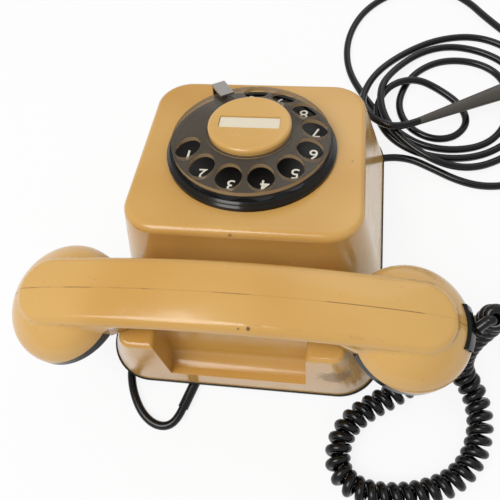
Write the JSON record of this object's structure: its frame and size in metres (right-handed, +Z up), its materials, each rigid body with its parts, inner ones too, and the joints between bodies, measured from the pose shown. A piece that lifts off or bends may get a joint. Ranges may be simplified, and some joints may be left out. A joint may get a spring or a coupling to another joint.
{
  "type": "rotary telephone",
  "caption": "Desk telephone with sloping panel, rotary dial with clear finger wheel, handset on a cradle with sprung plungers, curly handset cord and line cord with plug",
  "frame": {"origin": "on the table, under the middle of the telephone without its cords", "axes": "+X to the user's right, +Y to the rear, +Z up"},
  "size_m": [0.3385, 0.3816, 0.1027],
  "materials": {
    "ochre_shell": "glossy moulded plastic, light wear",
    "black_gloss": "glossy black moulded plastic",
    "smoky_clear": "tinted clear acrylic",
    "number_print": "black plate with pale printed numerals",
    "card_paper": "plain paper card",
    "bright_steel": "plated steel",
    "brass_parts": "machined brass",
    "gong_metal": "nickel-plated gong metal",
    "base_sheet": "black painted sheet steel",
    "foot_rubber": "rubber",
    "cord_black": "glossy black flexible sheath",
    "plug_grey": "dark grey moulded plug",
    "board_brown": "bonded paper board",
    "insulator": "pale insulating plastic",
    "winding": "enamelled copper winding"
  },
  "bodies": {
    "telephone": {"housing": "ochre_shell", "base_plate": "base_sheet", "rubber_feet": "foot_rubber", "base_screws": "bright_steel", "dial_bezel": "black_gloss", "number_plate": "number_print", "finger_stop": "bright_steel", "movement_plate": "bright_steel", "movement_bridge": "bright_steel", "movement_pillars": "brass_parts", "dial_screws": "bright_steel", "dial_bush": "brass_parts", "spring_case": "brass_parts", "governor_drum": "brass_parts", "pulse_contacts": "insulator", "lever_pin": "bright_steel", "lever_bracket": "bright_steel", "hook_switch": "insulator", "gong_left": "gong_metal", "gong_right": "gong_metal", "gong_posts": "bright_steel", "gong_nuts": "bright_steel", "ringer_frame": "bright_steel", "ringer_coil": "winding", "circuit_board": "board_brown", "transformer": "winding", "capacitor": "insulator", "terminal_block": "insulator", "line_cord": "cord_black", "line_cord_sleeve": "cord_black", "line_cord_gland": "black_gloss", "plug_boot": "plug_grey", "plug_body": "plug_grey", "plug_pins": "brass_parts", "cord_grommet": "black_gloss", "handset_cord": "cord_black"},
    "dial": {"finger_wheel": "smoky_clear", "hub_cap": "ochre_shell", "number_card": "card_paper", "dial_shaft": "bright_steel", "drive_gear": "brass_parts"},
    "pulse": {"pulse_spindle": "bright_steel", "pulse_pinion": "brass_parts", "pulse_cam": "insulator", "governor_gear": "brass_parts"},
    "governor": {"governor_spindle": "bright_steel", "governor_pinion": "brass_parts", "governor_rotor": "bright_steel"},
    "handset": {"handset_body": "ochre_shell", "ear_cap": "black_gloss", "mouth_cap": "black_gloss", "receiver_capsule": "bright_steel", "microphone_capsule": "bright_steel", "cord_clip": "black_gloss"},
    "plunger_l": {"plunger_left": "black_gloss"},
    "plunger_r": {"plunger_right": "black_gloss"},
    "lever": {"hook_lever": "bright_steel"},
    "striker": {"clapper": "bright_steel"}
  },
  "joints": [
    {"name": "dial_turn", "type": "hinge", "parent": "telephone", "child": "dial", "pos_m": [0, -0.03213, 0.07432], "axis": [0, -0.2529, 0.9675], "range_deg": [-320, 0], "stiffness_Nm_per_rad": 0.006, "springref_deg": 34.38},
    {"name": "pulse_spin", "type": "hinge", "parent": "telephone", "child": "pulse", "pos_m": [-0.02227, -0.02115, 0.07719], "axis": [0, -0.2529, 0.9675], "range_deg": [0, 1280]},
    {"name": "governor_spin", "type": "hinge", "parent": "telephone", "child": "governor", "pos_m": [-0.02772, -0.0315, 0.07449], "axis": [0, -0.2529, 0.9675], "range_deg": [-3840, 0]},
    {"name": "handset_lift", "type": "slide", "parent": "telephone", "child": "handset", "axis": [0, 0, 1], "range_m": [0, 0.12], "deforming": ["handset_cord"]},
    {"name": "plunger_l_rise", "type": "slide", "parent": "telephone", "child": "plunger_l", "axis": [0, 0, 1], "range_m": [0, 0.005]},
    {"name": "plunger_r_rise", "type": "slide", "parent": "telephone", "child": "plunger_r", "axis": [0, 0, 1], "range_m": [0, 0.005]},
    {"name": "lever_rock", "type": "hinge", "parent": "telephone", "child": "lever", "pos_m": [0, 0.036, 0.0382], "axis": [1, 0, 0], "range_deg": [0, 9.06]},
    {"name": "clapper_swing", "type": "hinge", "parent": "telephone", "child": "striker", "pos_m": [0, -0.038, 0.022], "axis": [0, 0, 1], "range_deg": [-2.5, 2.5]}
  ],
  "couplings": [
    {"joint": "pulse_spin", "follows": "dial_turn", "ratio": -4},
    {"joint": "governor_spin", "follows": "dial_turn", "ratio": 12},
    {"joint": "plunger_l_rise", "follows": "handset_lift", "ratio": 0.041667},
    {"joint": "plunger_r_rise", "follows": "handset_lift", "ratio": 0.041667},
    {"joint": "lever_rock", "follows": "handset_lift", "rad_per_m": 1.3159}
  ]
}
